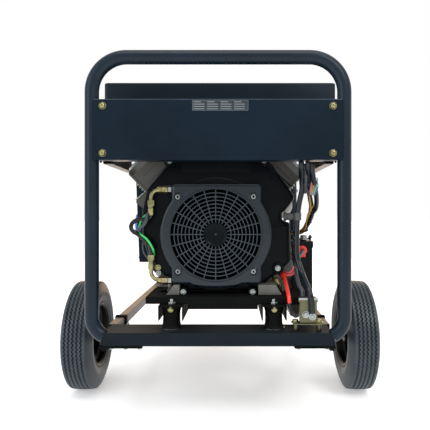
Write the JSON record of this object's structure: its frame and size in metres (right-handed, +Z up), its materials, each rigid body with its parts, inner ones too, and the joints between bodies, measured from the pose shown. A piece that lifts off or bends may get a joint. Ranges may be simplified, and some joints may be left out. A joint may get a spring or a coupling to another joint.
{
  "type": "portable generator",
  "caption": "Open-frame portable generator with a V-twin engine, alternator, fuel tank, electric start, two pneumatic wheels and fold-down handles.",
  "frame": {"origin": "on the ground, at the middle of the overall box", "axes": "+X right seen from the engine end, +Y towards the alternator end, +Z up"},
  "size_m": [0.838, 1.0823, 0.8626],
  "materials": {
    "frame_paint": "satin",
    "tank_paint": "satin",
    "rim_paint": "satin",
    "shroud_paint": "satin",
    "alternator_paint": "satin",
    "filter_paint": "gloss",
    "tyre": "matte",
    "rubber": "matte",
    "grip_rubber": "matte",
    "hose_rubber": "satin",
    "cable_black": "satin",
    "red_rubber": "satin",
    "red_cable": "satin",
    "cap_plastic": "matte",
    "engine_plastic": "satin",
    "battery_case": "satin",
    "socket_blue": "satin",
    "socket_black": "satin",
    "cast_alloy": "satin",
    "cooler_fins": "satin",
    "steel": "satin",
    "stator_copper": "satin",
    "exhaust_steel": "satin",
    "zinc": "satin"
  },
  "bodies": {
    "frame": {"air_cleaner": "engine_plastic", "alternator_crossmember": "frame_paint", "alternator_end_cover": "alternator_paint", "alternator_housing": "alternator_paint", "axle_frame": "frame_paint", "battery": "battery_case", "battery_boot": "red_rubber", "battery_cable": "cable_black", "blower_housing": "engine_plastic", "control_harness": "cable_black", "control_panel": "frame_paint", "cooler_cover": "engine_plastic", "cooler_line": "hose_rubber", "crankcase": "cast_alloy", "cylinder_left": "cast_alloy", "cylinder_right": "cast_alloy", "cylinder_shroud_left": "shroud_paint", "cylinder_shroud_right": "shroud_paint", "engine_base_plate": "frame_paint", "engine_rail_left": "frame_paint", "engine_rail_right": "frame_paint", "front_crossmember": "frame_paint", "front_hoop": "frame_paint", "front_panel": "frame_paint", "fuel_tank": "tank_paint", "lower_rail_left": "frame_paint", "lower_rail_right": "frame_paint", "main_cable": "cable_black", "mount_front_left": "rubber", "mount_front_right": "rubber", "mount_rear_left": "rubber", "mount_rear_right": "rubber", "oil_cooler": "cooler_fins", "oil_filter": "filter_paint", "rear_crossmember": "frame_paint", "rear_foot_left": "rubber", "rear_foot_right": "rubber", "rear_hoop": "frame_paint", "rear_panel": "frame_paint", "silencer": "exhaust_steel", "socket_black": "socket_black", "socket_blue": "socket_blue", "starter_cable": "red_cable", "starter_motor": "cast_alloy", "starter_relay": "zinc", "stator": "stator_copper", "upper_rail_left": "frame_paint", "upper_rail_right": "frame_paint"},
    "wheel_left": {"tyre_left": "tyre", "rim_left": "rim_paint"},
    "wheel_right": {"tyre_right": "tyre", "rim_right": "rim_paint"},
    "handle_left": {"handle_left": "frame_paint", "handle_grip_left": "grip_rubber"},
    "handle_right": {"handle_right": "frame_paint", "handle_grip_right": "grip_rubber"},
    "rotor": {"crankshaft_and_rotor": "steel"},
    "cap": {"fuel_cap": "cap_plastic"},
    "breaker_switch": {"breaker_switch": "socket_black"},
    "key": {"ignition_key": "socket_black"}
  },
  "joints": [
    {"name": "wheel_left_spin", "type": "hinge", "parent": "frame", "child": "wheel_left", "pos_m": [-0.377, -0.2337, 0.15], "axis": [1, 0, 0], "continuous": true},
    {"name": "wheel_right_spin", "type": "hinge", "parent": "frame", "child": "wheel_right", "pos_m": [0.377, -0.2337, 0.15], "axis": [1, 0, 0], "continuous": true},
    {"name": "handle_left_lift", "type": "hinge", "parent": "frame", "child": "handle_left", "pos_m": [-0.2865, 0.5243, 0.59], "axis": [1, 0, 0], "range_deg": [0, 95]},
    {"name": "handle_right_lift", "type": "hinge", "parent": "frame", "child": "handle_right", "pos_m": [0.2865, 0.5243, 0.59], "axis": [1, 0, 0], "range_deg": [0, 95]},
    {"name": "rotor_spin", "type": "hinge", "parent": "frame", "child": "rotor", "pos_m": [-0.008, 0, 0.442], "axis": [0, 1, 0], "continuous": true},
    {"name": "fuel_cap_turn", "type": "hinge", "parent": "frame", "child": "cap", "pos_m": [0.15, -0.0937, 0.824], "axis": [0, 0, 1], "range_deg": [0, 90]},
    {"name": "breaker_throw", "type": "hinge", "parent": "frame", "child": "breaker_switch", "pos_m": [-0.25672, 0.1963, 0.455], "axis": [0, 1, 0], "range_deg": [-12, 12]},
    {"name": "key_turn", "type": "hinge", "parent": "frame", "child": "key", "pos_m": [-0.25671, 0.2113, 0.545], "axis": [-0.9992, 0, -0.0387], "range_deg": [0, 90]}
  ]
}
